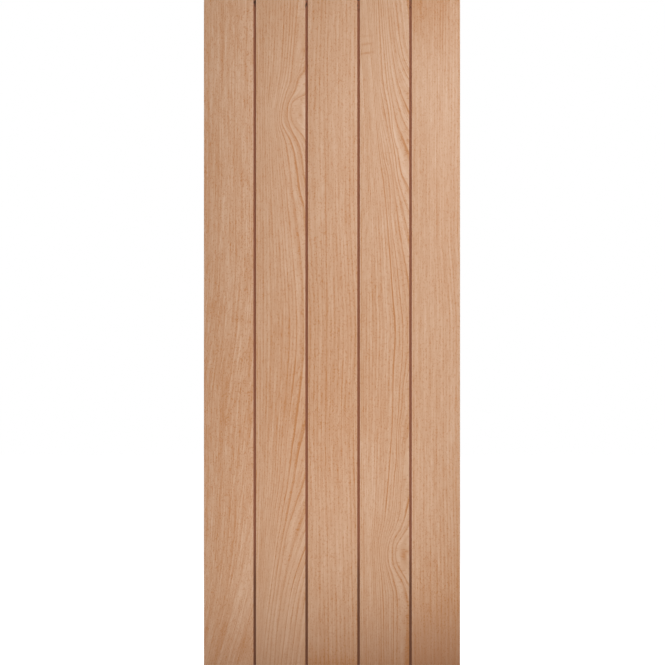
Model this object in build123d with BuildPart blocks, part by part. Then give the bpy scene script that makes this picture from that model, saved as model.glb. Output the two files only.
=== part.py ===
"""Boarded oak door leaf: tongued and grooved boards on both faces of a framed core.

The leaf stands upright in millimetres, with +Z up. The origin is at the foot of the hinge edge,
midway through the thickness. +X runs across the leaf to the lock edge, and the front faces -Y.
"""

import os

from build123d import *

# Height of the leaf, and the widths that add up across it.
# Each board is measured to the middle of the grooves beside it, the outer two from the leaf's edge.
LEAF_HEIGHT = 1981.0
HINGE_BOARD = 151.0
INNER_BOARD = 154.5
LOCK_BOARD = 147.5
INNER_BOARD_COUNT = 3

# Section of a board: a chamfered face lip, a tongue behind it and a back lip against the core
VEE = 3.0
QUIRK = 0.5
TONGUE_THICKNESS = 2.2
BACK_LIP = 2.3
TONGUE_LENGTH = 7.0
JOINT_GAP = 2.0
TONGUE_SIDE_CLEARANCE = 0.2
TONGUE_TIP_CLEARANCE = 1.0
ARRIS_RADIUS = 1.0

# Framed core between the two faces
CORE_THICKNESS = 19.0
LIPPING_WIDTH = 10.0
STILE_WIDTH = 45.0
TOP_RAIL_HEIGHT = 100.0
LOCK_RAIL_HEIGHT = 150.0
LOCK_RAIL_CENTRE = 1000.0
BOTTOM_RAIL_HEIGHT = 150.0

# Values that follow from those sizes
LEAF_WIDTH = HINGE_BOARD + INNER_BOARD_COUNT * INNER_BOARD + LOCK_BOARD
FACE_LIP = VEE + QUIRK
BOARD_THICKNESS = FACE_LIP + TONGUE_THICKNESS + BACK_LIP
LEAF_THICKNESS = CORE_THICKNESS + 2 * BOARD_THICKNESS
FRONT_FACE = -LEAF_THICKNESS / 2
GROOVE_CENTRES = [HINGE_BOARD + i * INNER_BOARD for i in range(INNER_BOARD_COUNT + 1)]
SLOT_DEPTH = TONGUE_LENGTH - JOINT_GAP + TONGUE_TIP_CLEARANCE
SLOT_HEIGHT = TONGUE_THICKNESS + 2 * TONGUE_SIDE_CLEARANCE
LOW_CORNER = (Align.MIN, Align.MIN)


def front_board(number):
    """One board of the front face, counted from 1 at the hinge edge."""
    at_hinge_edge = number == 1
    at_lock_edge = number == INNER_BOARD_COUNT + 2
    left = 0.0 if at_hinge_edge else GROOVE_CENTRES[number - 2] + JOINT_GAP / 2
    right = LEAF_WIDTH if at_lock_edge else GROOVE_CENTRES[number - 1] - JOINT_GAP / 2
    tongue_front = FRONT_FACE + FACE_LIP

    with BuildPart() as board:
        with BuildSketch(Plane.XY) as section:
            with Locations((left, FRONT_FACE)):
                Rectangle(right - left, BOARD_THICKNESS, align=LOW_CORNER)
            if not at_lock_edge:
                with Locations((right, tongue_front)):
                    Rectangle(TONGUE_LENGTH, TONGUE_THICKNESS, align=LOW_CORNER)
            if not at_hinge_edge:
                with Locations((left, tongue_front - TONGUE_SIDE_CLEARANCE)):
                    Rectangle(SLOT_DEPTH, SLOT_HEIGHT, align=LOW_CORNER, mode=Mode.SUBTRACT)

            # The face corners: a vee at each joint, a rounded arris at the leaf's own edges
            hinge_corner, lock_corner = section.vertices().group_by(Axis.Y)[0].sort_by(Axis.X)
            vee_corners = [
                corner
                for corner, outer in ((hinge_corner, at_hinge_edge), (lock_corner, at_lock_edge))
                if not outer
            ]
            chamfer(vee_corners, length=VEE)
            if at_hinge_edge:
                fillet(section.vertices().group_by(Axis.Y)[0].sort_by(Axis.X)[0], radius=ARRIS_RADIUS)
            if at_lock_edge:
                fillet(section.vertices().group_by(Axis.Y)[0].sort_by(Axis.X)[-1], radius=ARRIS_RADIUS)
        extrude(amount=LEAF_HEIGHT)
    return board.part


def back_board(number):
    """One board of the back face, which mirrors the front board of the same number."""
    with BuildPart() as board:
        add(front_board(number))
        mirror(about=Plane.XZ, mode=Mode.REPLACE)
    return board.part


def core_piece(left, right, bottom, top):
    """A plain length of the framed core, as thick as the space between the two faces."""
    with BuildPart() as piece:
        with BuildSketch(Plane.XY.offset(bottom)):
            with Locations(((left + right) / 2, 0)):
                Rectangle(right - left, CORE_THICKNESS)
        extrude(amount=top - bottom)
    return piece.part


def core_pieces():
    """The lippings, stiles, rails and core panels, by name."""
    hinge_stile_end = LIPPING_WIDTH + STILE_WIDTH
    lock_stile_start = LEAF_WIDTH - hinge_stile_end
    lock_rail_bottom = LOCK_RAIL_CENTRE - LOCK_RAIL_HEIGHT / 2
    lock_rail_top = LOCK_RAIL_CENTRE + LOCK_RAIL_HEIGHT / 2
    top_rail_bottom = LEAF_HEIGHT - TOP_RAIL_HEIGHT
    across = (hinge_stile_end, lock_stile_start)
    return {
        "hinge_lipping": core_piece(0, LIPPING_WIDTH, 0, LEAF_HEIGHT),
        "lock_lipping": core_piece(LEAF_WIDTH - LIPPING_WIDTH, LEAF_WIDTH, 0, LEAF_HEIGHT),
        "hinge_stile": core_piece(LIPPING_WIDTH, hinge_stile_end, 0, LEAF_HEIGHT),
        "lock_stile": core_piece(lock_stile_start, LEAF_WIDTH - LIPPING_WIDTH, 0, LEAF_HEIGHT),
        "bottom_rail": core_piece(*across, 0, BOTTOM_RAIL_HEIGHT),
        "lower_core": core_piece(*across, BOTTOM_RAIL_HEIGHT, lock_rail_bottom),
        "lock_rail": core_piece(*across, lock_rail_bottom, lock_rail_top),
        "upper_core": core_piece(*across, lock_rail_top, top_rail_bottom),
        "top_rail": core_piece(*across, top_rail_bottom, LEAF_HEIGHT),
    }


def build_leaf():
    """Every piece of the leaf, by name."""
    pieces = core_pieces()
    for number in range(1, INNER_BOARD_COUNT + 3):
        pieces[f"front_board_{number}"] = front_board(number)
        pieces[f"back_board_{number}"] = back_board(number)
    return pieces


os.makedirs("parts", exist_ok=True)
for name, part in build_leaf().items():
    part.label = name
    export_step(part, f"parts/{name}.step")
print(f"leaf {LEAF_WIDTH:g} x {LEAF_THICKNESS:g} x {LEAF_HEIGHT:g} mm, boards {BOARD_THICKNESS:g} mm thick")
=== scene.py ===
# %% [markdown]
# # Dressing a boarded oak door leaf
#
# The leaf was built in CAD: five tongued and grooved oak boards on each face of a framed core.
# Here it gets its looks. The CAD model is loaded as a fixed frame, in metres, with its foot at
# height 0, +X running from the hinge edge to the lock edge and the front facing -Y.
# Its box is kept at once, because nothing that is added later may stand outside it.

# %% Load the frame
import math
import random
from collections import namedtuple

import bmesh
import bpy
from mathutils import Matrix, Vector


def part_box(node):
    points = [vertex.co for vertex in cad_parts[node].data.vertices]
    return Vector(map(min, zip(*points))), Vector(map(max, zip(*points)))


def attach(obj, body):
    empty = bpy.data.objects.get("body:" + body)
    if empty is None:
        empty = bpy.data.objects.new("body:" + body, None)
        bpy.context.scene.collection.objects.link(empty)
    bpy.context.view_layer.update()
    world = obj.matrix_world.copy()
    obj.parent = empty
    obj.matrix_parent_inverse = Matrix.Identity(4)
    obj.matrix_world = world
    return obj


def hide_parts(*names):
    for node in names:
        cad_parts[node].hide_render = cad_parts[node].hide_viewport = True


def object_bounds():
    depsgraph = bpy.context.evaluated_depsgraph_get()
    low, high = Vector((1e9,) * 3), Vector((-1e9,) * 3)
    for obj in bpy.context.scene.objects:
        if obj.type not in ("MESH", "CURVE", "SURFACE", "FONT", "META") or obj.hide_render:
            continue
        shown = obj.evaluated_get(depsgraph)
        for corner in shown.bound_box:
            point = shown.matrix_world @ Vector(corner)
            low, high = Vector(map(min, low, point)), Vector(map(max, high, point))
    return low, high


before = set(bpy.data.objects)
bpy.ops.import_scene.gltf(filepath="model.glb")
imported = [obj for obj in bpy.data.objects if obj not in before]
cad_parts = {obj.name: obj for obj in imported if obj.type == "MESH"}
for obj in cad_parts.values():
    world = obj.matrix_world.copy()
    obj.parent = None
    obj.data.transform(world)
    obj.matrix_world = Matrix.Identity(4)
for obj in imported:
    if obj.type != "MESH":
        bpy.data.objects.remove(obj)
cad_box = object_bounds()
leaf_low, leaf_high = cad_box
leaf_size = leaf_high - leaf_low
print("leaf", [round(side, 4) for side in leaf_size], "with", len(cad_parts), "CAD pieces")

# %% [markdown]
# ## The camera
#
# A door is photographed square-on and from far away, so that its long edges stay upright and
# parallel. A long lens at the matching distance does that. The leaf fills the square picture from
# top to bottom, with half a pixel to spare so that no white shows at its ends, and its middle lies
# half a pixel left of the picture's.

# %% Camera
MM = 0.001
PICTURE_PIXELS = 665
LEAF_PIXELS = 666
LEAF_MIDDLE_COLUMN = 332.0
LENS_MM = 150.0
SENSOR_MM = 36.0

pixel = leaf_size.z / LEAF_PIXELS
leaf_middle = (leaf_low + leaf_high) / 2
distance = pixel * PICTURE_PIXELS * LENS_MM / SENSOR_MM

camera_data = bpy.data.cameras.new("camera")
camera_data.lens = LENS_MM
camera_data.sensor_width = SENSOR_MM
camera = bpy.data.objects.new("camera", camera_data)
camera.location = (
    leaf_middle.x + (PICTURE_PIXELS / 2 - LEAF_MIDDLE_COLUMN) * pixel,
    leaf_low.y - distance,
    leaf_middle.z,
)
camera.rotation_euler = (math.radians(90), 0, 0)
bpy.context.scene.collection.objects.link(camera)
bpy.context.scene.camera = camera
bpy.context.scene.view_settings.view_transform = "Standard"
print("camera", round(distance, 2), "m away,", round(pixel / MM, 2), "mm a pixel")

# %% [markdown]
# ## Sums in a shader
#
# A procedural finish is mostly arithmetic on positions. In the node editor each sum is a Math node,
# which soon becomes hard to read. Two small classes let it be written as plain Python: a Value is
# one output of a node, and a sum on Values adds the Math nodes. A Finish is one material, and its
# node method makes every other kind of node: settings first, then what goes into the sockets.

# %% Values and finishes
NOISE_MIDDLE = 0.5
SEED_STEPS = (3.7, 5.0, 7.1)
SEED_STARTS = (0.0, 0.5, 0.0)


class Value:
    """One output of a node. A sum on it adds a Math node to its finish."""

    def __init__(self, finish, output):
        self.finish = finish
        self.output = output

    def maths(self, operation, *others):
        return self.finish.maths(operation, self, *others)

    def __add__(self, other):
        return self.finish.maths("ADD", self, other)

    def __sub__(self, other):
        return self.finish.maths("SUBTRACT", self, other)

    def __rsub__(self, other):
        return self.finish.maths("SUBTRACT", other, self)

    def __mul__(self, other):
        return self.finish.maths("MULTIPLY", self, other)

    def __truediv__(self, other):
        return self.finish.maths("DIVIDE", self, other)

    __radd__ = __add__
    __rmul__ = __mul__

    def step(self, low, high):
        """Rises smoothly from 0 at low to 1 at high, or falls where high is the lesser."""
        limits = {"Value": self, "From Min": min(low, high), "From Max": max(low, high)}
        rise = self.finish.node("ShaderNodeMapRange", {"interpolation_type": "SMOOTHSTEP"}, limits)
        return rise if high > low else 1 - rise

    def within(self, low, high):
        return self.maths("MAXIMUM", low).maths("MINIMUM", high)


class Finish:
    """One material, built node by node."""

    def __init__(self, name, constants):
        self.material = bpy.data.materials.new(name)
        self.material.use_nodes = True
        self.tree = self.material.node_tree
        self.shader = self.tree.nodes["Principled BSDF"]
        for socket, value in constants.items():
            self.shader.inputs[socket].default_value = value

    def node(self, kind, settings, sockets, output=0):
        made = self.tree.nodes.new(kind)
        for name, value in settings.items():
            setattr(made, name, value)
        for name, value in sockets.items():
            self.feed(made.inputs[name], value)
        return Value(self, made.outputs[output])

    def feed(self, socket, value):
        if isinstance(value, Value):
            self.tree.links.new(value.output, socket)
        else:
            socket.default_value = value

    def maths(self, operation, *values):
        return self.node("ShaderNodeMath", {"operation": operation}, dict(enumerate(values)))

    def curve(self, value, points, across, low, high):
        """A smooth curve through (place, height) points. Places run to across, heights from low to high."""
        made = self.node("ShaderNodeFloatCurve", {}, {"Value": value / across})
        mapping = made.output.node.mapping
        knots = [(place / across, (height - low) / (high - low)) for place, height in points]
        line = mapping.curves[0].points
        line[0].location, line[1].location = knots[0], knots[-1]
        for knot in knots[1:-1]:
            line.new(*knot)
        for point in line:
            point.handle_type = "AUTO_CLAMPED"
        mapping.update()
        return made * (high - low) + low

    def mix(self, share, first, second):
        """Colour between first and second."""
        return self.node("ShaderNodeMix", {"data_type": "RGBA"}, {0: share, 6: first, 7: second}, 2)

    def place(self):
        """Where a point is, as X, Y and Z in millimetres."""
        metres = self.node("ShaderNodeTexCoord", {}, {}, "Object")
        scaled = self.node("ShaderNodeVectorMath", {"operation": "SCALE"}, {0: metres, "Scale": 1 / MM})
        return [self.node("ShaderNodeSeparateXYZ", {}, {0: scaled}, axis) for axis in range(3)]

    def facing(self, axis):
        """How squarely a face looks along one axis, either way, from 0 to 1."""
        normal = self.node("ShaderNodeNewGeometry", {}, {}, "True Normal")
        return self.node("ShaderNodeSeparateXYZ", {}, {0: normal}, axis).maths("ABSOLUTE")

    def vector(self, x, y, z):
        return self.node("ShaderNodeCombineXYZ", {}, {0: x, 1: y, 2: z})

    def noise(self, vector, spacing, seed, detail=1.0):
        """Soft noise whose blots are about as large as spacing. Each seed shows another part of it."""
        scale = tuple(1.0 / size for size in spacing)
        shift = tuple(seed * step + start for step, start in zip(SEED_STEPS, SEED_STARTS))
        sockets = {0: vector, 1: scale, 2: shift}
        moved = self.node("ShaderNodeVectorMath", {"operation": "MULTIPLY_ADD"}, sockets)
        return self.node("ShaderNodeTexNoise", {}, {"Vector": moved, "Scale": 1.0, "Detail": detail})

    def bump(self, height, depth_mm):
        """Feeds the shader's normal from a height between 0 and 1."""
        sockets = {"Height": height, "Distance": depth_mm * MM}
        self.feed(self.shader.inputs["Normal"], self.node("ShaderNodeBump", {}, sockets))


print("two classes:", Value.__name__, "and", Finish.__name__)

# %% [markdown]
# ## The stage
#
# The picture has a plain white ground. Making the lamps strong enough to wash a floor out would
# also bleach the oak, so the floor and the world are only seen as white: the Light Path node
# tells a camera ray from the rays that carry light. The floor still takes the leaf's shadow.

# %% Floor and world
FLOOR_HALF = 14.0
FLOOR_COLOUR = (0.45, 0.45, 0.45, 1.0)
FLOOR_ROUGHNESS = 0.9
FLOOR_GLOW = 0.86
AMBIENT = 0.41
WHITE = (1.0, 1.0, 1.0, 1.0)


def seen_directly(tree):
    """1 for what the camera, a mirror or a pane shows, and 0 for light that falls on the leaf."""
    path = tree.nodes.new("ShaderNodeLightPath")
    total = path.outputs["Is Camera Ray"]
    for name in ("Is Glossy Ray", "Is Transmission Ray"):
        add = tree.nodes.new("ShaderNodeMath")
        add.operation = "MAXIMUM"
        tree.links.new(total, add.inputs[0])
        tree.links.new(path.outputs[name], add.inputs[1])
        total = add.outputs[0]
    return total


shape = bmesh.new()
bmesh.ops.create_grid(shape, x_segments=1, y_segments=1, size=FLOOR_HALF)
floor_mesh = bpy.data.meshes.new("floor")
shape.to_mesh(floor_mesh)
shape.free()
floor = bpy.data.objects.new("floor", floor_mesh)
bpy.context.scene.collection.objects.link(floor)

floor_constants = {
    "Base Color": FLOOR_COLOUR,
    "Roughness": FLOOR_ROUGHNESS,
    "Emission Color": WHITE,
    "Specular IOR Level": 0.0,
}
floor_finish = Finish("pale_floor", floor_constants)
glow = Value(floor_finish, seen_directly(floor_finish.tree)) * FLOOR_GLOW
floor_finish.feed(floor_finish.shader.inputs["Emission Strength"], glow)
floor.data.materials.append(floor_finish.material)

world = bpy.data.worlds.new("studio")
bpy.context.scene.world = world
world.use_nodes = True
background = world.node_tree.nodes["Background"]
background.inputs["Color"].default_value = WHITE
level = world.node_tree.nodes.new("ShaderNodeMapRange")
level.inputs["To Min"].default_value = AMBIENT
level.inputs["To Max"].default_value = 1.0
world.node_tree.links.new(seen_directly(world.node_tree), level.inputs["Value"])
world.node_tree.links.new(level.outputs[0], background.inputs["Strength"])
print("floor", 2 * FLOOR_HALF, "m wide, ambient light", AMBIENT)

# %% [markdown]
# ## The lamps
#
# The light in the picture is soft and almost even, a little stronger from the right, and it falls
# off towards the foot. A broad key lamp high on the right and a small low one near the foot give
# that, on top of the ambient light. The other lamps stand behind the plane of the front face: one
# high at the back, and one beside each edge. They keep the back, the head and the edges readable when
# the camera goes round, and hardly touch the front. The lamps themselves stay out of the picture.

# %% Lamps
Lamp = namedtuple("Lamp", "name place aim size watts")
LAMPS = [
    Lamp("key", (1.0, -1.9, 1.8), (0.45, 0.0, 1.25), 0.8, 27.5),
    Lamp("low", (0.35, -0.8, 0.42), (0.35, 0.0, 0.42), 0.5, 1.9),
    Lamp("rear", (-0.2, 2.0, 2.9), (0.38, 0.0, 1.3), 1.0, 50.0),
    Lamp("hinge side", (-2.2, 0.7, 1.3), (0.0, 0.0, 1.2), 0.8, 15.0),
    Lamp("lock side", (2.9, 0.7, 1.3), (0.76, 0.0, 1.2), 0.8, 15.0),
]


def add_lamp(lamp):
    data = bpy.data.lights.new(lamp.name, "AREA")
    data.shape = "DISK"
    data.size = lamp.size
    data.energy = lamp.watts
    made = bpy.data.objects.new(lamp.name, data)
    made.location = lamp.place
    direction = Vector(lamp.aim) - made.location
    made.rotation_euler = direction.to_track_quat("-Z", "Y").to_euler()
    made.visible_camera = False
    bpy.context.scene.collection.objects.link(made)


for lamp in LAMPS:
    add_lamp(lamp)
print(len(LAMPS), "lamps")

# %% [markdown]
# ## The boards
#
# Each board is a machined moulding: a vee along each joint, a tongue on one side, a slot on the
# other. The CAD boards have that section already, but with knife-sharp edges, and it is the eased
# edge of a vee that catches the light. So each board is made again on the same section: a face with
# the section's corners is extruded to the leaf's height, and the edges that show are bevelled.

# %% Section of a board
VEE_MM = 3.0
TONGUE_FRONT_MM = 3.5
TONGUE_BACK_MM = 5.7
TONGUE_LENGTH_MM = 7.0
SLOT_FRONT_MM = 3.3
SLOT_BACK_MM = 5.9
SLOT_DEPTH_MM = 6.0
THICKNESS_MM = 8.0
HEIGHT_MM = leaf_size.z / MM
BOARD_COUNT = 5
FRONT, BACK = "front", "back"
Board = namedtuple("Board", "side number left right face inward")


def board_from_cad(side, number):
    """A board's place in millimetres, read from its CAD node. Its right edge leaves the tongue out."""
    low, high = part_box(f"{side}_board_{number}")
    tongue = 0.0 if number == BOARD_COUNT else TONGUE_LENGTH_MM
    face, inward = (low.y, 1) if side == FRONT else (high.y, -1)
    return Board(side, number, low.x / MM, high.x / MM - tongue, face / MM, inward)


def section_corners(board):
    """(across, depth) of each corner in millimetres, from the back's hinge side round by the face."""
    left, right = board.left, board.right
    hinge_side = [(left, THICKNESS_MM), (left, 0.0)]
    if board.number > 1:
        hinge_side = [
            (left, THICKNESS_MM),
            (left, SLOT_BACK_MM),
            (left + SLOT_DEPTH_MM, SLOT_BACK_MM),
            (left + SLOT_DEPTH_MM, SLOT_FRONT_MM),
            (left, SLOT_FRONT_MM),
            (left, VEE_MM),
            (left + VEE_MM, 0.0),
        ]
    lock_side = [(right, 0.0), (right, THICKNESS_MM)]
    if board.number < BOARD_COUNT:
        lock_side = [
            (right - VEE_MM, 0.0),
            (right, VEE_MM),
            (right, TONGUE_FRONT_MM),
            (right + TONGUE_LENGTH_MM, TONGUE_FRONT_MM),
            (right + TONGUE_LENGTH_MM, TONGUE_BACK_MM),
            (right, TONGUE_BACK_MM),
            (right, THICKNESS_MM),
        ]
    return hinge_side + lock_side


BOARDS = [board_from_cad(side, number) for side in (FRONT, BACK) for number in range(1, BOARD_COUNT + 1)]
for board in BOARDS[:BOARD_COUNT]:
    print("front board", board.number, "from", round(board.left, 2), "to", round(board.right, 2), "mm")

# %% [markdown]
# ### Which edges are eased
#
# Three kinds of edge get a bevel. The leaf's own long edges are rounded as in CAD. The edges of the
# face, beside the vees and at the ends, are eased by sandpaper. And the back edges that end at the
# leaf's outside get a hair's breadth, which draws the fine joint line against the core.

# %% Extrude and bevel
EASE_MM = 0.4
EASE_SEGMENTS = 2
SEAM_MM = 0.2
SEAM_SEGMENTS = 1
ARRIS_MM = 1.0
ARRIS_SEGMENTS = 5
ROUND_PROFILE = 0.5
NEAR = 1e-5


def raise_section(shape, board):
    """Makes the section's face at the foot and extrudes it to the leaf's height."""
    corners = [(x * MM, (board.face + board.inward * depth) * MM, 0.0) for x, depth in section_corners(board)]
    foot = shape.faces.new([shape.verts.new(corner) for corner in corners])
    raised = bmesh.ops.extrude_face_region(shape, geom=[foot], use_keep_orig=True)
    moved = [part for part in raised["geom"] if isinstance(part, bmesh.types.BMVert)]
    bmesh.ops.translate(shape, verts=moved, vec=(0.0, 0.0, leaf_size.z))
    bmesh.ops.recalc_face_normals(shape, faces=shape.faces)


def edges_to_ease(shape, board):
    """(rounded, eased, seams) lists of edges."""
    face_y = board.face * MM
    back_y = (board.face + board.inward * THICKNESS_MM) * MM
    rounded, eased, seams = [], [], []
    for edge in shape.edges:
        first, second = (vert.co for vert in edge.verts)
        upright = abs(first.z - second.z) > NEAR
        outer = min(abs(first.x - leaf_low.x), abs(first.x - leaf_high.x)) < NEAR
        if abs(first.y - face_y) < NEAR and abs(second.y - face_y) < NEAR:
            (rounded if upright and outer else eased).append(edge)
        elif abs(first.y - back_y) < NEAR and abs(second.y - back_y) < NEAR and (outer or not upright):
            seams.append(edge)
    return rounded, eased, seams


def ease(shape, edges, offset_mm, segments):
    bmesh.ops.bevel(
        shape,
        geom=edges,
        affect="EDGES",
        offset=offset_mm * MM,
        segments=segments,
        profile=ROUND_PROFILE,
        material=-1,
    )


print("bevels of", ARRIS_MM, EASE_MM, "and", SEAM_MM, "mm")

# %% [markdown]
# ### A bake map that suits long boards
#
# When the model is exported, each finish is baked into a square picture. A board is thirteen times
# as tall as it is wide, and unwrapped at its true shape it would use a thin strip of that square,
# too coarse for the grain. Its sides are laid side by side instead, each as a full-height strip,
# with most of the width for the face that shows. Oak changes fast across the grain and slowly
# along it, so the stretched map loses little.

# %% Unroll a board
FACE_SHARE = 0.66
EDGE_SHARE = 0.06
VEE_SHARE = 0.035
STRIP_GAP = 0.006
END_BAND = 0.03
END_MARGIN = 0.02
BAND_MARGIN = 0.1
BAND_USED = 0.6
END_NORMAL = 0.7


def side_shares(corners):
    """The share of the map's width that each side of the section gets."""
    depths = [depth for _, depth in corners]
    wants = []
    for d0, d1 in zip(depths, depths[1:] + depths[:1]):
        if d0 == d1 == 0.0:
            wants.append(FACE_SHARE)
        elif {d0, d1} == {0.0, THICKNESS_MM}:
            wants.append(EDGE_SHARE)
        elif max(d0, d1) <= TONGUE_FRONT_MM and (d0 != d1 or d0 == TONGUE_FRONT_MM):
            wants.append(VEE_SHARE)
        else:
            wants.append(0.0)
    spare = (1.0 - sum(wants) - STRIP_GAP * (len(wants) + 1)) / wants.count(0.0)
    return [want or spare for want in wants]


def along_side(side, x, depth):
    """How far along a side of the section a point lies, from 0 to 1."""
    (x0, d0), (x1, d1) = side
    squared_length = (x1 - x0) ** 2 + (d1 - d0) ** 2
    share = ((x - x0) * (x1 - x0) + (depth - d0) * (d1 - d0)) / squared_length
    return min(1.0, max(0.0, share))


def gap_to_side(side, x, depth):
    (x0, d0), (x1, d1) = side
    share = along_side(side, x, depth)
    return math.hypot(x - x0 - share * (x1 - x0), depth - d0 - share * (d1 - d0))


def unroll(shape, board):
    """Writes the map named OFBake: sides as upright strips, ends as bands below and above them."""
    layer = shape.loops.layers.uv.new("OFBake")
    corners = section_corners(board)
    sides = list(zip(corners, corners[1:] + corners[:1]))
    width = board.right - board.left + TONGUE_LENGTH_MM
    strips, start = [], STRIP_GAP
    for share in side_shares(corners):
        strips.append((start, share))
        start += share + STRIP_GAP

    def in_section(place):
        return place.x / MM, (place.y / MM - board.face) * board.inward

    for face in shape.faces:
        middle = in_section(face.calc_center_median())
        at_end = abs(face.normal.z) > END_NORMAL
        nearest = min(range(len(sides)), key=lambda number: gap_to_side(sides[number], *middle))
        begin, share = strips[nearest]
        for loop in face.loops:
            x, depth = in_section(loop.vert.co)
            height = loop.vert.co.z / leaf_size.z
            if at_end:
                u = END_MARGIN + (1 - 2 * END_MARGIN) * (x - board.left) / width
                v = END_BAND * (BAND_MARGIN + BAND_USED * depth / THICKNESS_MM)
                if height > 0.5:
                    v += 1 - END_BAND * (BAND_USED + 2 * BAND_MARGIN)
            else:
                u = begin + share * along_side(sides[nearest], x, depth)
                v = END_BAND + (1 - 2 * END_BAND) * height
            loop[layer].uv = (u, v)


inner_shares = side_shares(section_corners(BOARDS[1]))
print("an inner board's strips share the map as", [round(share, 3) for share in inner_shares])

# %% [markdown]
# ### Putting a board together
#
# Each board rides on the leaf's one body and takes the place of its CAD node. The count of open
# edges should be 0: a closed mesh has no stray faces.

# %% Build the boards
SHARP_DEGREES = 25


def build_board(board):
    shape = bmesh.new()
    raise_section(shape, board)
    rounded, eased, seams = edges_to_ease(shape, board)
    ease(shape, rounded, ARRIS_MM, ARRIS_SEGMENTS)
    ease(shape, [edge for edge in eased if edge.is_valid], EASE_MM, EASE_SEGMENTS)
    ease(shape, [edge for edge in seams if edge.is_valid], SEAM_MM, SEAM_SEGMENTS)
    unroll(shape, board)
    for face in shape.faces:
        face.smooth = True
    open_edges = sum(1 for edge in shape.edges if not edge.is_manifold)
    mesh = bpy.data.meshes.new(f"{board.side}_oak_{board.number}")
    shape.to_mesh(mesh)
    shape.free()
    mesh.set_sharp_from_angle(angle=math.radians(SHARP_DEGREES))
    piece = bpy.data.objects.new(mesh.name, mesh)
    bpy.context.scene.collection.objects.link(piece)
    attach(piece, "root")
    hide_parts(f"{board.side}_board_{board.number}")
    print(piece.name, len(mesh.polygons), "faces,", open_edges, "open edges")
    return piece


oak_pieces = {board: build_board(board) for board in BOARDS}

# %% [markdown]
# ## How the grain runs
#
# A board is a slice through the tree's rings. Where a point lies across the rings decides almost
# everything that shows, so the finish starts from one number, the flow: the distance across the
# rings. A guide is one ring that can be followed up the board by eye: its flow, and where it runs,
# as (height, across) points in millimetres, which may lie beyond the board's edge. Between two
# guides the other rings share the room. Where a branch was, the guides bend round its eye.
#
# Bold rings are listed by flow and strength, and the fine ones have an even width. The other values
# of a figure say how strong its rings, fibres, flecks and blots are, how pale the board is and how
# much painted shade darkens its foot.

# %% What a figure holds
# A figure's foot value is how much painted shade darkens the foot of its board.
FIGURE_FIELDS = "guides fine_mm rings fine bold marks fibre_mm streak fleck mottle tone foot"
Guide = namedtuple("Guide", "flow course")
Ring = namedtuple("Ring", "flow strength")
Mark = namedtuple("Mark", "across height half_width half_length lean_degrees tone")
Figure = namedtuple("Figure", FIGURE_FIELDS)
FRONT_FIGURES = {}


def add_figure(number, figure):
    FRONT_FIGURES[number] = figure
    counts = {"guides": len(figure.guides), "bold rings": len(figure.rings), "marks": len(figure.marks)}
    print("front board", number, counts)


print("a figure has", len(Figure._fields), "values")

# %% [markdown]
# Board 1, at the hinge edge, has no bold rings. Its broad streaks lean to the right as they rise, and
# a few pale ones stand out.

# %% Board 1
add_figure(1, Figure(
    guides=[
        Guide(120, [(0, -10), (250, 40), (500, 60), (800, 70), (1000, 95), (1250, 110), (1981, 110)]),
        Guide(190, [(0, 40), (250, 105), (500, 140), (1000, 200), (1700, 210), (1981, 260)]),
    ],
    fine_mm=4.5, rings=[], fine=0.15, bold=0.15,
    marks=[
        Mark(35, 1000, 50, 1300, 0, -0.05),
        Mark(75, 800, 130, 180, 0, -0.10),
        Mark(51, 1287, 3, 200, -4, 0.14),
        Mark(68, 1177, 3, 90, -5, 0.12),
        Mark(94, 894, 3, 105, -15, 0.12),
        Mark(110, 340, 4, 110, -14, 0.14),
        Mark(66, 1790, 12, 190, -2, 0.08),
        Mark(122, 70, 14, 55, -8, -0.22),
    ],
    fibre_mm=2.4, streak=0.9, fleck=0.38, mottle=0.30, tone=0.01, foot=0.33,
))

# %% [markdown]
# On board 2 the rings fan out from the foot and leave by the right edge. Above the middle they come
# back, and near the head they bend round a branch eye.

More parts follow.
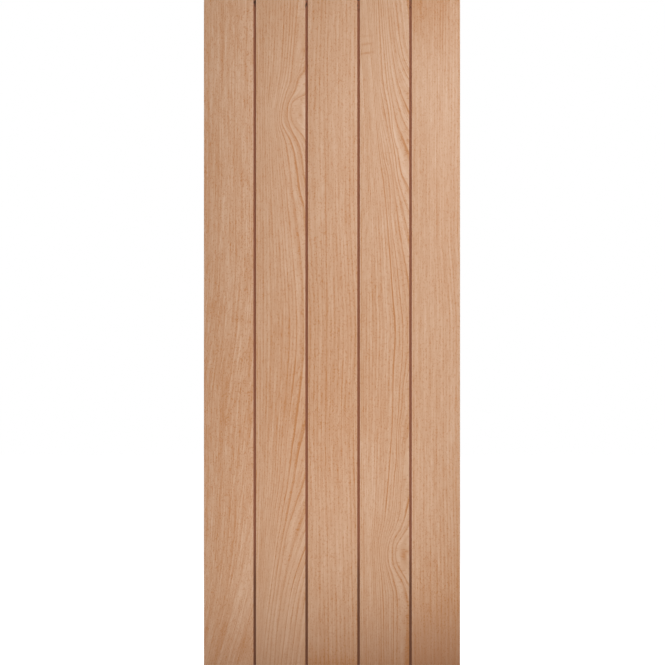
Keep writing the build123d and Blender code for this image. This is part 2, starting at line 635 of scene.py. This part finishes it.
# %% Board 2
add_figure(2, Figure(
    guides=[
        Guide(20, [(0, 0), (300, 10), (700, 20), (1981, 20)]),
        Guide(100, [
            (0, 17), (130, 29), (260, 46), (460, 72), (560, 88), (660, 95), (770, 107), (910, 122),
            (1000, 126), (1180, 117), (1400, 96), (1510, 84), (1560, 79), (1625, 68), (1660, 70),
            (1700, 78), (1750, 90), (1840, 100), (1981, 108),
        ]),
        Guide(127, [
            (0, 34), (100, 43), (200, 56), (330, 75), (430, 94), (530, 114), (640, 133), (720, 152),
            (900, 172), (1100, 172), (1350, 150), (1410, 136), (1450, 130), (1510, 122), (1550, 112),
            (1590, 92), (1605, 84), (1625, 80), (1650, 82), (1680, 88), (1710, 98), (1740, 108),
            (1800, 114), (1981, 130),
        ]),
        Guide(152, [
            (0, 46), (100, 53), (210, 67), (320, 84), (390, 95), (470, 120), (560, 152), (800, 200),
            (1200, 200), (1460, 148), (1540, 136), (1560, 128), (1590, 112), (1610, 104), (1640, 98),
            (1660, 99), (1685, 107), (1710, 121), (1740, 130), (1755, 138), (1768, 152), (1850, 175),
            (1981, 185),
        ]),
        Guide(171, [
            (0, 60), (150, 74), (320, 108), (450, 150), (600, 200), (1200, 240), (1560, 152),
            (1590, 133), (1610, 117), (1625, 110), (1650, 108), (1670, 111), (1680, 118), (1690, 134),
            (1700, 155), (1760, 200), (1981, 240),
        ]),
        Guide(211, [
            (0, 79), (80, 88), (150, 97), (235, 113), (345, 150), (600, 240), (1000, 300), (1981, 310),
        ]),
    ],
    fine_mm=8.0,
    rings=[
        Ring(84, 0.6), Ring(92, 0.4), Ring(100, 0.9), Ring(112, 0.9), Ring(127, 1.0), Ring(152, 1.0),
        Ring(171, 0.65), Ring(190, 0.3), Ring(211, 1.0), Ring(226, 1.0), Ring(240, 0.95), Ring(256, 0.6),
    ],
    fine=0.22, bold=0.50,
    marks=[
        Mark(128, 1645, 10, 18, 0, -0.10),
        Mark(147, 1630, 5, 55, 0, 0.20),
        Mark(139, 1800, 8, 30, 8, 0.14),
        Mark(146, 1830, 9, 12, 0, -0.16),
        Mark(44, 1715, 2.5, 50, -8, -0.22),
        Mark(75, 780, 130, 200, 0, -0.11),
        Mark(112, 840, 3, 60, -6, -0.16),
        Mark(93, 790, 3, 60, -6, -0.16),
        Mark(75, 1660, 90, 100, 0, 0.05),
        Mark(75, 60, 130, 160, 0, 0.13),
    ],
    fibre_mm=2.4, streak=0.66, fleck=0.30, mottle=0.2, tone=0.04, foot=0.28,
))

# %% [markdown]
# Board 3 was cut squarely across the rings, so its lines run almost straight, at an even distance.

# %% Board 3
add_figure(3, Figure(
    guides=[
        Guide(25, [
            (0, 30), (400, 30), (750, 22), (1000, 26), (1180, 18), (1350, 10), (1700, 15), (1981, 25),
        ]),
        Guide(56, [(0, 62), (400, 58), (650, 53), (1000, 57), (1400, 54), (1750, 48), (1981, 55)]),
        Guide(127, [
            (0, 135), (500, 127), (750, 122), (1000, 129), (1180, 120), (1400, 112), (1981, 115),
        ]),
    ],
    fine_mm=12.0, rings=[], fine=0.33, bold=0.33,
    marks=[
        Mark(56, 900, 8, 700, 0, -0.07),
        Mark(130, 1000, 30, 900, 0, 0.04),
        Mark(75, 820, 150, 220, 0, -0.09),
        Mark(75, 1780, 150, 260, 0, 0.08),
        Mark(75, 350, 150, 170, 0, 0.08),
        # Painted shade along the foot.
        Mark(75, 0, 150, 30, 0, -0.30),
    ],
    fibre_mm=3.0, streak=0.66, fleck=0.36, mottle=0.17, tone=0.01, foot=0.33,
))

# %% [markdown]
# Board 4 has its branch eye near the foot. Its rings leave by the right edge about the middle and
# come back steeply towards the head. Short level flecks near the head are rays that were cut through.

# %% Board 4
add_figure(4, Figure(
    guides=[
        Guide(20, [(0, 22), (1500, 22), (1981, 0)]),
        Guide(80, [
            (0, 76), (200, 73), (260, 69), (330, 63), (380, 68), (430, 78), (500, 85), (600, 93),
            (735, 102), (860, 104), (1000, 110), (1090, 103), (1300, 88), (1430, 75), (1530, 61),
            (1700, 46), (1981, 24),
        ]),
        Guide(100, [
            (0, 90), (200, 90), (260, 82), (330, 73), (380, 80), (450, 97), (500, 103), (570, 108),
            (600, 112), (700, 114), (750, 119), (850, 125), (900, 130), (1000, 132), (1080, 125),
            (1200, 113), (1320, 97), (1430, 92), (1530, 72), (1700, 54), (1981, 35),
        ]),
        Guide(122, [
            (0, 104), (200, 104), (260, 92), (330, 79), (370, 85), (430, 107), (520, 116), (600, 121),
            (700, 125), (760, 135), (830, 140), (885, 150), (1000, 160), (1130, 150), (1240, 131),
            (1370, 112), (1480, 98), (1560, 84), (1650, 64), (1800, 52), (1981, 46),
        ]),
        Guide(134, [
            (0, 114), (180, 116), (215, 114), (245, 106), (280, 97), (300, 91), (330, 87), (350, 89),
            (365, 92), (400, 106), (440, 120), (470, 125), (510, 126), (550, 130), (650, 139),
            (700, 150), (900, 180), (1200, 170), (1250, 155), (1310, 142), (1350, 133), (1400, 122),
            (1450, 110), (1500, 103), (1550, 95), (1600, 87), (1650, 78), (1740, 62), (1981, 52),
        ]),
        Guide(147, [
            (0, 150), (150, 155), (200, 147), (250, 131), (270, 119), (290, 108), (300, 104),
            (330, 102), (350, 102), (370, 106), (390, 116), (410, 128), (440, 139), (480, 148),
            (600, 190), (1200, 195), (1350, 150), (1400, 132), (1450, 118), (1520, 109), (1600, 95),
            (1650, 89), (1740, 73), (1850, 66), (1981, 59),
        ]),
        Guide(160, [
            (0, 165), (200, 165), (250, 145), (280, 128), (300, 117), (310, 113), (335, 110),
            (350, 111), (360, 115), (380, 128), (400, 141), (430, 156), (600, 230), (1200, 230),
            (1350, 185), (1400, 158), (1430, 145), (1470, 127), (1530, 117), (1570, 105), (1650, 97),
            (1740, 84), (1981, 66),
        ]),
        Guide(175, [
            (0, 215), (330, 230), (1300, 240), (1480, 172), (1530, 150), (1580, 131), (1600, 120),
            (1650, 107), (1740, 92), (1820, 84), (1981, 72),
        ]),
        Guide(212, [
            (0, 260), (600, 280), (1400, 280), (1650, 149), (1740, 116), (1830, 100), (1981, 86),
        ]),
        Guide(240, [(0, 300), (600, 315), (1500, 315), (1770, 148), (1830, 125), (1981, 105)]),
    ],
    fine_mm=7.0,
    rings=[
        Ring(71, 0.4), Ring(80, 1.0), Ring(91, 0.3), Ring(100, 1.0), Ring(112, 0.3), Ring(122, 1.0),
        Ring(134, 0.7), Ring(147, 1.0), Ring(160, 0.85),
        Ring(174, 0.85), Ring(190, 0.5), Ring(212, 0.9), Ring(223, 0.4), Ring(232, 0.6), Ring(245, 0.6),
        Ring(260, 0.4),
    ],
    fine=0.24, bold=0.64,
    marks=[
        Mark(133, 331, 9, 17, 0, -0.42),
        Mark(146, 340, 5, 60, 0, 0.18),
        Mark(139, 500, 5, 80, -6, 0.16),
        Mark(75, 1790, 110, 240, 0, 0.12),
        Mark(75, 500, 130, 130, 0, 0.07),
        Mark(75, 900, 130, 260, 0, -0.07),
        Mark(24, 1849, 17, 3, 8, -0.28),
        Mark(24, 1822, 16, 3, 8, -0.45),
        Mark(21, 1872, 15, 3, 6, -0.18),
        Mark(18, 1742, 7, 3, 6, -0.20),
        Mark(76, 1730, 4, 16, 25, -0.16),
        Mark(78, 1508, 4, 14, 40, -0.16),
        # Painted shade along the foot.
        Mark(75, 0, 150, 30, 0, -0.12),
    ],
    fibre_mm=2.4, streak=0.74, fleck=0.32, mottle=0.2, tone=0.065, foot=0.50,
))

# %% [markdown]
# Board 5, at the lock edge, is as straight as board 3, with a darker head, and its foot darkened by painted
# shade.

# %% Board 5
add_figure(5, Figure(
    guides=[
        Guide(45, [(0, 50), (500, 46), (1000, 46), (1981, 48)]),
        Guide(108, [
            (0, 118), (300, 116), (600, 111), (1000, 112), (1150, 105), (1280, 96), (1700, 98),
            (1981, 100),
        ]),
    ],
    fine_mm=9.5, rings=[], fine=0.23, bold=0.23,
    marks=[
        Mark(75, 1670, 110, 200, 0, 0.10),
        Mark(100, 1210, 2.5, 90, 5, -0.14),
        Mark(40, 1981, 90, 110, 0, -0.27),
        # The next two marks are painted shade at the foot.
        Mark(100, 150, 120, 200, 0, -0.20),
        Mark(75, 0, 150, 30, 0, -0.10),
    ],
    fibre_mm=3.0, streak=0.66, fleck=0.32, mottle=0.14, tone=0.07, foot=0.78,
))

# %% [markdown]
# The back boards come from other trees. Their figures are drawn from a seeded generator, gentle and
# without eyes, as a joiner would choose plain boards for the side that shows less.

# %% Figures of the back boards
PLAIN_HEIGHTS = [0, 400, 800, 1200, 1600, 1981]
PLAIN_FLOWS = [30, 75, 120]
PLAIN_SWAY = 14
FIRST_RING = (50, 110)
LAST_RING = 260
RING_GAP = (11, 22)
RING_STRENGTH = (0.3, 1.0)
PLAIN_FINE_MM = (4, 7)
PLAIN_BOLD = (0.25, 0.45)


def plain_figure(number):
    draw = random.Random(number)
    guides = [
        Guide(flow, [(height, flow + draw.uniform(-PLAIN_SWAY, PLAIN_SWAY)) for height in PLAIN_HEIGHTS])
        for flow in PLAIN_FLOWS
    ]
    rings, place = [], draw.uniform(*FIRST_RING)
    while place < LAST_RING:
        rings.append(Ring(place, draw.uniform(*RING_STRENGTH)))
        place += draw.uniform(*RING_GAP)
    fine_mm = draw.uniform(*PLAIN_FINE_MM)
    bold = draw.uniform(*PLAIN_BOLD)
    return Figure(
        guides=guides, fine_mm=fine_mm, rings=rings, fine=0.24, bold=bold, marks=[],
        fibre_mm=2.5, streak=0.9, fleck=0.2, mottle=0.3, tone=0.0, foot=0.33,
    )


BACK_FIGURES = {number: plain_figure(number) for number in range(1, BOARD_COUNT + 1)}
print("figures for", len(BACK_FIGURES), "back boards")

# %% [markdown]
# A guide's course is a Float Curve node along the height. Between two guides the flow rises evenly
# from the first's to the second's, and beyond the outer ones it goes on a millimetre for each
# millimetre. Depth into the board also crosses rings, which slants the lines on the ends.

# %% Flow of the grain
COURSE_LOW = -60.0
COURSE_HIGH = 320.0
RING_SLANT = 0.8
WANDER_MM = 1.0
WANDER_SPACING = (40.0, 40.0, 160.0)


def grain_flow(oak, across, height, depth, figure, seed):
    """Distance across the rings in millimetres."""
    place = across + depth * RING_SLANT
    guides = figure.guides
    courses = [oak.curve(height, guide.course, HEIGHT_MM, COURSE_LOW, COURSE_HIGH) for guide in guides]
    before = (place - courses[0]).maths("MINIMUM", 0.0)
    beyond = (place - courses[-1]).maths("MAXIMUM", 0.0)
    flow = before + beyond + guides[0].flow
    for step in range(len(guides) - 1):
        room = courses[step + 1] - courses[step]
        share = ((place - courses[step]) / room).within(0.0, 1.0)
        flow = flow + share * (guides[step + 1].flow - guides[step].flow)
    wander = oak.noise(oak.vector(across, depth, height), WANDER_SPACING, seed, 2.0)
    return flow + (wander - NOISE_MIDDLE) * (2 * WANDER_MM)


front_guides = [guide for figure in FRONT_FIGURES.values() for guide in figure.guides]
places = [across for guide in front_guides for _, across in guide.course]
print(len(front_guides), "front guides run from", min(places), "to", max(places), "mm across")

# %% [markdown]
# ### Rings
#
# Fine rings stand close together up to the first bold one, and bold ones are listed one by one.
# A curve numbers them all, so that each ring runs from one whole number to the next. Within a ring
# the wood darkens slowly towards the dense end of the year's growth and then breaks off sharply to
# the next spring's pale start. A bold ring has its listed strength. A White Noise node changes every
# ring by chance, the bold ones least, and all fade in places along their length.

# %% Rings
FLOW_RANGE = 420.0
RING_RANGE = 90.0
RINGS_BEYOND = 4
STRENGTH_BEYOND = 0.5
FINE_END_MM = 6.0
BOLD_RISE_MM = 10.0
RING_SEED_STEP = 13.0
FADE_SPACING = (0.37, 1.0, 170.0)
DARK_RISE = (0.54, 0.91)
DARK_BREAK = (1.0, 0.95)
PALE_RISE = (0.0, 0.05)
PALE_FALL = (0.5, 0.12)
Chance = namedtuple("Chance", "span least fade_low fade_high fade_span fade_least")
BOLD_CHANCE = Chance(0.3, 0.72, 0.3, 0.6, 0.35, 0.65)
EVEN_CHANCE = Chance(0.8, 0.2, 0.25, 0.65, 0.7, 0.3)


def ring_numbers(figure):
    """(flow, number) points: even fine rings up to the first bold one, then one number a ring."""
    if not figure.rings:
        return [(0.0, 0.0), (FLOW_RANGE, FLOW_RANGE / figure.fine_mm)]
    first = round(figure.rings[0].flow / figure.fine_mm)
    points = [(0.0, 0.0)] + [(ring.flow, first + step) for step, ring in enumerate(figure.rings)]
    return points + [(FLOW_RANGE, points[-1][1] + RINGS_BEYOND)]


def ring_amount(oak, flow, figure):
    """How strong the rings are along the flow, before chance."""
    if not figure.rings:
        return figure.fine
    first = figure.rings[0].flow
    fine_end = [(0.0, 1.0), (first - FINE_END_MM, 1.0)]
    strengths = fine_end + list(figure.rings) + [(FLOW_RANGE, STRENGTH_BEYOND)]
    chosen = oak.curve(flow.within(0.0, FLOW_RANGE), strengths, FLOW_RANGE, 0.0, 1.0)
    return chosen * (figure.fine + flow.step(first - BOLD_RISE_MM, first) * (figure.bold - figure.fine))


def ring_tones(oak, flow, height, figure, seed):
    """(dark, pale, part): how dark and pale the rings are, and how far through a ring a point is."""
    points = ring_numbers(figure)
    most = max(RING_RANGE, points[-1][1])
    ring = oak.curve(flow.within(0.0, FLOW_RANGE), points, FLOW_RANGE, 0.0, most)
    whole = ring.maths("FLOOR")
    part = ring - whole

    chance = BOLD_CHANCE if figure.rings else EVEN_CHANCE
    number = {"W": whole + seed * RING_SEED_STEP}
    own = oak.node("ShaderNodeTexWhiteNoise", {"noise_dimensions": "1D"}, number)
    fade = oak.noise(oak.vector(whole, 0.0, height), FADE_SPACING, seed + 2)
    left = fade.step(chance.fade_low, chance.fade_high) * chance.fade_span + chance.fade_least
    shown = (own * chance.span + chance.least) * left * ring_amount(oak, flow, figure)
    dark = part.step(*DARK_RISE) * part.step(*DARK_BREAK) * shown
    pale = part.step(*PALE_RISE) * part.step(*PALE_FALL) * shown
    return dark, pale, part


ring_counts = [round(ring_numbers(figure)[-1][1]) for figure in FRONT_FIGURES.values()]
print("rings over", FLOW_RANGE, "mm of flow, by front board:", ring_counts)

# %% [markdown]
# ### Fibres and pores
#
# Between the rings, oak is a bundle of long fibres. Noise that is stretched along the flow gives
# streaks of several widths. Pores cut open along the board show as short dark dashes, which crowd
# where a ring is dark.

# %% Fibres
BROAD_MM = 16.0
BROAD_LENGTH_MM = 420.0
BROAD_SHARE = 1.2
BLOT_MM = 22.0
BLOT_LENGTH_MM = 70.0
MIDDLING_WIDTHS = 1.5
MIDDLING_LENGTH_MM = 240.0
FINE_LENGTH_MM = 34.0
DASH_WIDTHS = 0.9
DASH_LENGTH_MM = 4.5
DASH_STEP = (0.58, 0.72)
PORE_MM = 0.35
PORE_LENGTH_MM = 5.0
PORE_STEP = (0.62, 0.72)
PORE_TONE = 0.08
CROWD_STEP = (0.30, 0.9)
CROWD_SHARE = 0.06


def fibre_tone(oak, grain, part, figure, seed):
    """(tone, pores, dashes): streaks around 0, then pores and wider dashes from 0 to 1."""

    def streaks(width, length, number, detail=2.0):
        return oak.noise(grain, (width, width, length), seed + number, detail)

    width = figure.fibre_mm
    broad = streaks(BROAD_MM, BROAD_LENGTH_MM, 3) - NOISE_MIDDLE
    middling = streaks(width * MIDDLING_WIDTHS, MIDDLING_LENGTH_MM, 4) - NOISE_MIDDLE
    fine = streaks(width, FINE_LENGTH_MM, 5) - NOISE_MIDDLE
    blots = streaks(BLOT_MM, BLOT_LENGTH_MM, 6, detail=3.0) - NOISE_MIDDLE
    crowd = part.step(*CROWD_STEP) * CROWD_SHARE
    dashes = (streaks(width * DASH_WIDTHS, DASH_LENGTH_MM, 7, detail=1.0) + crowd).step(*DASH_STEP)
    pores = (streaks(PORE_MM, PORE_LENGTH_MM, 8, detail=0.0) + crowd).step(*PORE_STEP)
    tone = (broad * BROAD_SHARE + blots) * figure.mottle + (middling + fine) * figure.streak
    tone = tone - dashes * figure.fleck - pores * PORE_TONE
    return tone, pores, dashes


print("fibre widths by front board:", [figure.fibre_mm for figure in FRONT_FIGURES.values()], "mm")

# %% [markdown]
# ### Single marks
#
# Some marks are one of a kind: the dark heart of a branch, the flecks where rays were cut through,
# a pale streak. Each is a soft oval with a place, two half sizes, a lean and a strength. A large
# faint one makes a whole stretch of a board a little darker or paler. The dark ones that lie along
# the foot of boards 3, 4 and 5 are painted shade.

# %% Marks
def mark_tone(oak, across, height, marks):
    """The tone that a board's single marks add."""
    total = 0.0
    for mark in marks:
        turn = math.radians(mark.lean_degrees)
        x, z = across - mark.across, height - mark.height
        wide = (x * math.cos(turn) + z * math.sin(turn)) / mark.half_width
        long = (z * math.cos(turn) - x * math.sin(turn)) / mark.half_length
        total = total + (wide * wide * -1 - long * long).maths("EXPONENT") * mark.tone
    return total


print(sum(len(figure.marks) for figure in FRONT_FIGURES.values()), "single marks on the front")

# %% [markdown]
# ### The stained grooves
#
# The grooves are much darker than the faces, because red-brown stain was run into them. The stain
# stops at the eased edge of the vee. It is read from depth below the face, close to a joint. Near
# the foot it is darker, which is painted shade, and in spots near the head it is darker too.

# %% Stain
STAIN_COLOUR = (0.27, 0.098, 0.050, 1.0)
STAIN_PATCH_AND_SHADE = (0.125, 0.051, 0.026, 1.0)
STAIN_BLACK = (0.07, 0.030, 0.017, 1.0)
STAIN_FULL_MM = 5.0
STAIN_END_MM = 6.0
UNEVEN_MM = 0.5
UNEVEN_SPACING = (3.0, 3.0, 9.0)
STAIN_EDGE_MM = (-0.12, 0.12)
PATCH_SPACING = (6.0, 6.0, 50.0)
PATCH_SHARE = 0.5
# Painted shade in the grooves towards the foot:
STAIN_SHADE_STEP = (400.0, 230.0)
STAIN_SHADE_SHARE = 0.75
SPOT_SPACING = (6.0, 6.0, 14.0)
SPOT_STEP = (0.53, 0.60)
HEAD_STEP = (HEIGHT_MM - 45.0, HEIGHT_MM - 15.0)


def groove_stain(oak, across, height, depth, board, seed):
    """(share, colour) of the stain beside the joints of one board."""
    width = board.right - board.left
    place = oak.vector(across, depth, height)
    near = 0.0
    if board.number > 1:
        near = across.step(STAIN_END_MM, STAIN_FULL_MM) + near
    if board.number < BOARD_COUNT:
        near = across.step(width - STAIN_END_MM, width - STAIN_FULL_MM) + near
    uneven = oak.noise(place, UNEVEN_SPACING, seed + 9, 2.0)
    share = (depth - uneven * UNEVEN_MM).step(*STAIN_EDGE_MM) * near
    patches = oak.noise(place, PATCH_SPACING, seed + 10, 2.0) - NOISE_MIDDLE
    # Painted shade: the stain darkens towards the foot, on top of its random patches.
    patches_and_shade = (height.step(*STAIN_SHADE_STEP) * STAIN_SHADE_SHARE + patches * PATCH_SHARE).within(0.0, 1.0)
    stain = oak.mix(patches_and_shade, STAIN_COLOUR, STAIN_PATCH_AND_SHADE)
    spots = oak.noise(place, SPOT_SPACING, seed + 11)
    head = height.step(*HEAD_STEP) * spots.step(*SPOT_STEP)
    return share, oak.mix(head, stain, STAIN_BLACK)


print("stain in", 2 * (BOARD_COUNT - 1), "grooves, up to", STAIN_END_MM, "mm from a joint")

# %% [markdown]
# ### The oak itself
#
# Everything meets in one tone from 0, the darkest brown, to 1, the palest. A Mix node turns it into
# a colour. A duller brown comes in towards the foot as painted shade, and the ends are darker. Bump
# comes from the same pores, dashes and rings, so that the light agrees with the colour.

# %% Oak finish for a board
OAK_DARK = (0.460, 0.194, 0.067, 1.0)
OAK_PALE = (0.658, 0.437, 0.300, 1.0)
END_COLOUR = (0.36, 0.19, 0.10, 1.0)
END_SHARE = 0.75
END_STEP = (0.6, 0.8)
# The next two values paint shade onto the foot of every board.
FOOT_SHADE_COLOUR = (0.34, 0.15, 0.070, 1.0)
FOOT_SHADE_STEP = (260.0, -60.0)
BASE_TONE = 0.57
PALE_TONE = 0.2
OAK_SPECULAR = 0.25
OAK_ROUGHNESS = 0.55
PORE_ROUGHNESS = 0.15
STAIN_ROUGHNESS = 0.2
PALE_GLOSS = 0.1
OAK_BUMP_MM = 0.03
PORE_BUMP = 0.6
RING_BUMP = 0.3
DASH_BUMP = 0.2
BACK_SEED = 10


def oak_finish(board, figure, seed):
    oak = Finish(f"oak_{board.side}_{board.number}", {"Specular IOR Level": OAK_SPECULAR})
    x, y, z = oak.place()
    across = x - board.left
    depth = (y - board.face) * board.inward

    flow = grain_flow(oak, across, z, depth, figure, seed)
    grain = oak.vector(flow, depth, z)
    dark, pale, part = ring_tones(oak, flow, z, figure, seed)
    fibres, pores, dashes = fibre_tone(oak, grain, part, figure, seed)
    tone = fibres - dark + pale * PALE_TONE + (BASE_TONE + figure.tone)
    tone = tone + mark_tone(oak, across, z, figure.marks)
    colour = oak.mix(tone.within(0.0, 1.0), OAK_DARK, OAK_PALE)
    # Painted shade: a duller brown is mixed in towards the foot, as much as the figure's foot share.
    colour = oak.mix(z.step(*FOOT_SHADE_STEP) * figure.foot, colour, FOOT_SHADE_COLOUR)

    end = oak.facing(2).step(*END_STEP)
    colour = oak.mix(end * END_SHARE, colour, END_COLOUR)
    share, stain = groove_stain(oak, across, z, depth, board, seed)
    colour = oak.mix(share, colour, stain)
    roughness = OAK_ROUGHNESS + pores * PORE_ROUGHNESS + share * STAIN_ROUGHNESS - pale * PALE_GLOSS

    oak.feed(oak.shader.inputs["Base Color"], colour)
    oak.feed(oak.shader.inputs["Roughness"], roughness)
    oak.bump(1 - pores * PORE_BUMP - dark * RING_BUMP - dashes * DASH_BUMP, OAK_BUMP_MM)
    return oak.material


for board, piece in oak_pieces.items():
    figures = FRONT_FIGURES if board.side == FRONT else BACK_FIGURES
    seed = board.number + (BACK_SEED if board.side == BACK else 0)
    piece.data.materials.append(oak_finish(board, figures[board.number], seed))
print(len(oak_pieces), "oak finishes")

# %% [markdown]
# ## The edges and the core
#
# Between the two faces, the leaf's long edges show an oak lipping, and its ends show the cut ends
# of the softwood stiles and the length of a rail. The CAD pieces have the right shape for these, so
# they stay, and only their finish is new. Long grain runs along Z in lippings and stiles and along X
# in rails, so one function takes the axis.

# %% Long grain
SOFT_DARK = (0.47, 0.29, 0.14, 1.0)
SOFT_PALE = (0.76, 0.58, 0.37, 1.0)
CORE_SPECULAR = 0.3
DRIFT_SPACING = (60.0, 60.0, 500.0)
DRIFT_MM = 14.0
SIDE_SLANT = 0.8
DEPTH_SLANT = 0.6
LINE_RISE = (0.0, 0.1)
LINE_FALL = (0.6, 0.15)
STREAK_SPACING = (2.4, 2.4, 70.0)
CUT_PORE_SPACING = (0.5, 0.5, 8.0)
CUT_PORE_STEP = (0.6, 0.72)
TIMBER_TONE = 0.6
STREAK_TONE = 0.9
LINE_TONE = 0.3
CUT_PORE_TONE = 0.2
CUT_END_SHARE = 0.6
STREAK_BUMP = 0.3
TIMBER_BUMP_MM = 0.1


def long_grain(name, axis, dark, pale, ring_mm, seed, roughness):
    """A plain timber whose fibres run along one axis."""
    timber = Finish(name, {"Specular IOR Level": CORE_SPECULAR})
    x, y, z = timber.place()
    along, side = (z, x) if axis == 2 else (x, z)
    drift = timber.noise(timber.vector(side, y, along), DRIFT_SPACING, seed)
    flow = side * SIDE_SLANT + y * DEPTH_SLANT + drift * DRIFT_MM
    grain = timber.vector(flow, y, along)
    part = (flow / ring_mm).maths("FRACT")
    line = part.step(*LINE_RISE) * part.step(*LINE_FALL)
    streak = timber.noise(grain, STREAK_SPACING, seed + 1, 2.0) - NOISE_MIDDLE
    pores = timber.noise(grain, CUT_PORE_SPACING, seed + 2, 1.0).step(*CUT_PORE_STEP)
    tone = streak * STREAK_TONE - line * LINE_TONE - pores * CUT_PORE_TONE + TIMBER_TONE
    colour = timber.mix(tone.within(0.0, 1.0), dark, pale)
    end = timber.facing(axis).step(*END_STEP)
    timber.feed(timber.shader.inputs["Base Color"], timber.mix(end * CUT_END_SHARE, colour, dark))
    timber.feed(timber.shader.inputs["Roughness"], pores * PORE_ROUGHNESS + roughness)
    timber.bump(1 - pores * PORE_BUMP - line * RING_BUMP + streak * STREAK_BUMP, TIMBER_BUMP_MM)
    return timber.material


lipping_finish = long_grain("oak_lipping", 2, OAK_DARK, OAK_PALE, ring_mm=5.0, seed=31, roughness=0.5)
stile_finish = long_grain("softwood_stile", 2, SOFT_DARK, SOFT_PALE, ring_mm=3.6, seed=32, roughness=0.6)
rail_finish = long_grain("softwood_rail", 0, SOFT_DARK, SOFT_PALE, ring_mm=3.6, seed=33, roughness=0.6)
print("made", lipping_finish.name, stile_finish.name, "and", rail_finish.name)

# %% [markdown]
# The two core panels are sealed in and never show from outside, but a part that is taken apart should
# still have something to see. Pressed chips are the cells of a Voronoi texture, each with its own shade.

# %% Pressed chips
CHIP_DARK = (0.30, 0.19, 0.10, 1.0)
CHIP_PALE = (0.60, 0.44, 0.26, 1.0)
CHIP_MM = (6.0, 2.0, 9.0)
CHIP_ROUGHNESS = 0.7
CHIP_SPREAD = 0.2
CHIP_BUMP = 0.6
CHIP_BUMP_MM = 0.3


def chip_finish():
    chips = Finish("pressed_chips", {"Specular IOR Level": CORE_SPECULAR})
    place = chips.vector(*[value / size for value, size in zip(chips.place(), CHIP_MM)])
    cell = chips.node("ShaderNodeTexVoronoi", {}, {"Vector": place, "Scale": 1.0}, "Color")
    shade = chips.node("ShaderNodeSeparateXYZ", {}, {0: cell})
    gaps = chips.node("ShaderNodeTexVoronoi", {}, {"Vector": place, "Scale": 1.0}, "Distance")
    chips.feed(chips.shader.inputs["Base Color"], chips.mix(shade, CHIP_DARK, CHIP_PALE))
    chips.feed(chips.shader.inputs["Roughness"], CHIP_ROUGHNESS + shade * CHIP_SPREAD)
    chips.bump(1 - gaps * CHIP_BUMP, CHIP_BUMP_MM)
    return chips.material


core_finish = chip_finish()
print("made", core_finish.name)

# %% [markdown]
# Each of the nine CAD pieces of the core now gets its finish, in place of the plain one it came with.

# %% Finishes of the framed core
FINISH_BY_NODE = {
    "hinge_lipping": lipping_finish,
    "lock_lipping": lipping_finish,
    "hinge_stile": stile_finish,
    "lock_stile": stile_finish,
    "top_rail": rail_finish,
    "lock_rail": rail_finish,
    "bottom_rail": rail_finish,
    "upper_core": core_finish,
    "lower_core": core_finish,
}
for node_name, finish in FINISH_BY_NODE.items():
    node_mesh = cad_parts[node_name].data
    node_mesh.materials.clear()
    node_mesh.materials.append(finish)
print(len(FINISH_BY_NODE), "core pieces finished")
